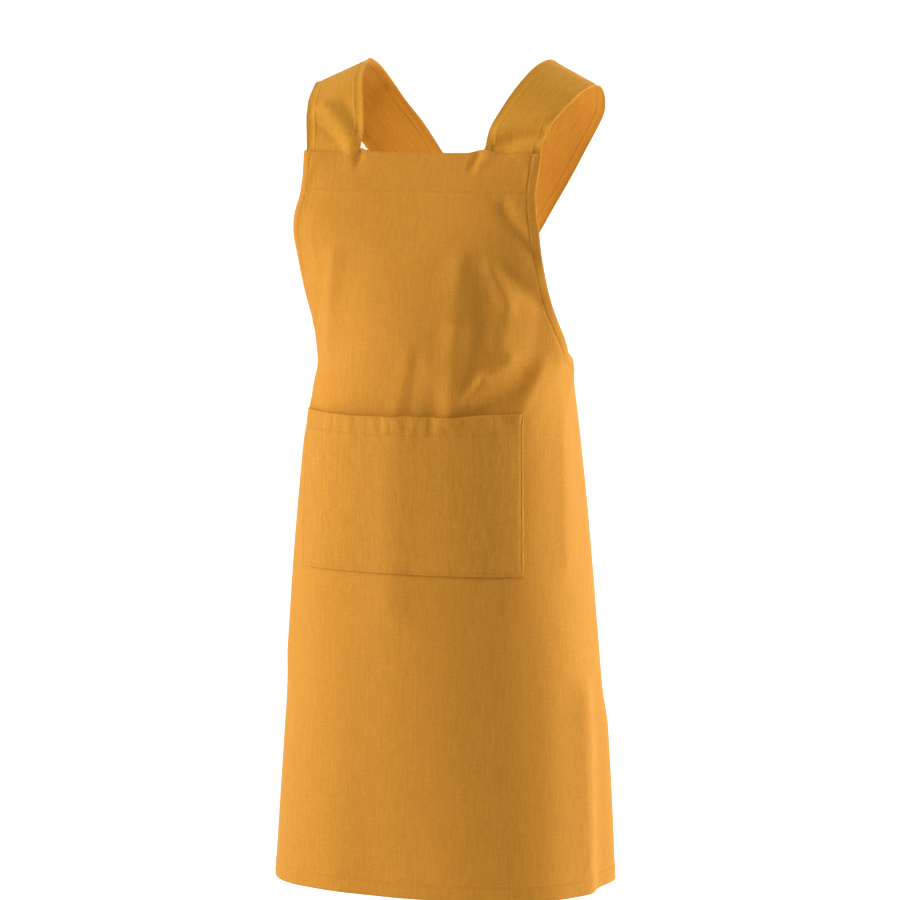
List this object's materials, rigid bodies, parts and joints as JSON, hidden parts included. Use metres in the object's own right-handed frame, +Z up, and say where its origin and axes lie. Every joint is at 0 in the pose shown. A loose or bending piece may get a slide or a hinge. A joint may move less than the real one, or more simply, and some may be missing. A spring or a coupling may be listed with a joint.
{
  "type": "cross back apron",
  "caption": "Full-length canvas work apron: bib and wrap skirt in one cloth, wide front pocket, broad straps that cross on the back, open behind.",
  "frame": {"origin": "rest point of the straps, midway between the tops of the shoulders that they lie on", "axes": "+Z up, the bib faces -Y, +X is the wearer's left"},
  "size_m": [0.3928, 0.2827, 0.9602],
  "materials": {
    "canvas": "mustard plain weave cotton canvas, matt, tonal stitching",
    "canvas_hem": "the same canvas turned in as hems, matt",
    "canvas_pocket": "the same canvas, matt, double stitched at its sides",
    "canvas_strap": "the same canvas cut as broad straps, matt"
  },
  "bodies": {
    "root": {"body_panel": "canvas", "bib_top_hem": "canvas_hem", "armhole_hem_left": "canvas_hem", "armhole_hem_right": "canvas_hem", "back_hem_left": "canvas_hem", "back_hem_right": "canvas_hem", "bottom_hem": "canvas_hem", "pocket": "canvas_pocket", "pocket_top_hem": "canvas_hem", "strap_left": "canvas_strap", "strap_right": "canvas_strap"}
  },
  "joints": []
}
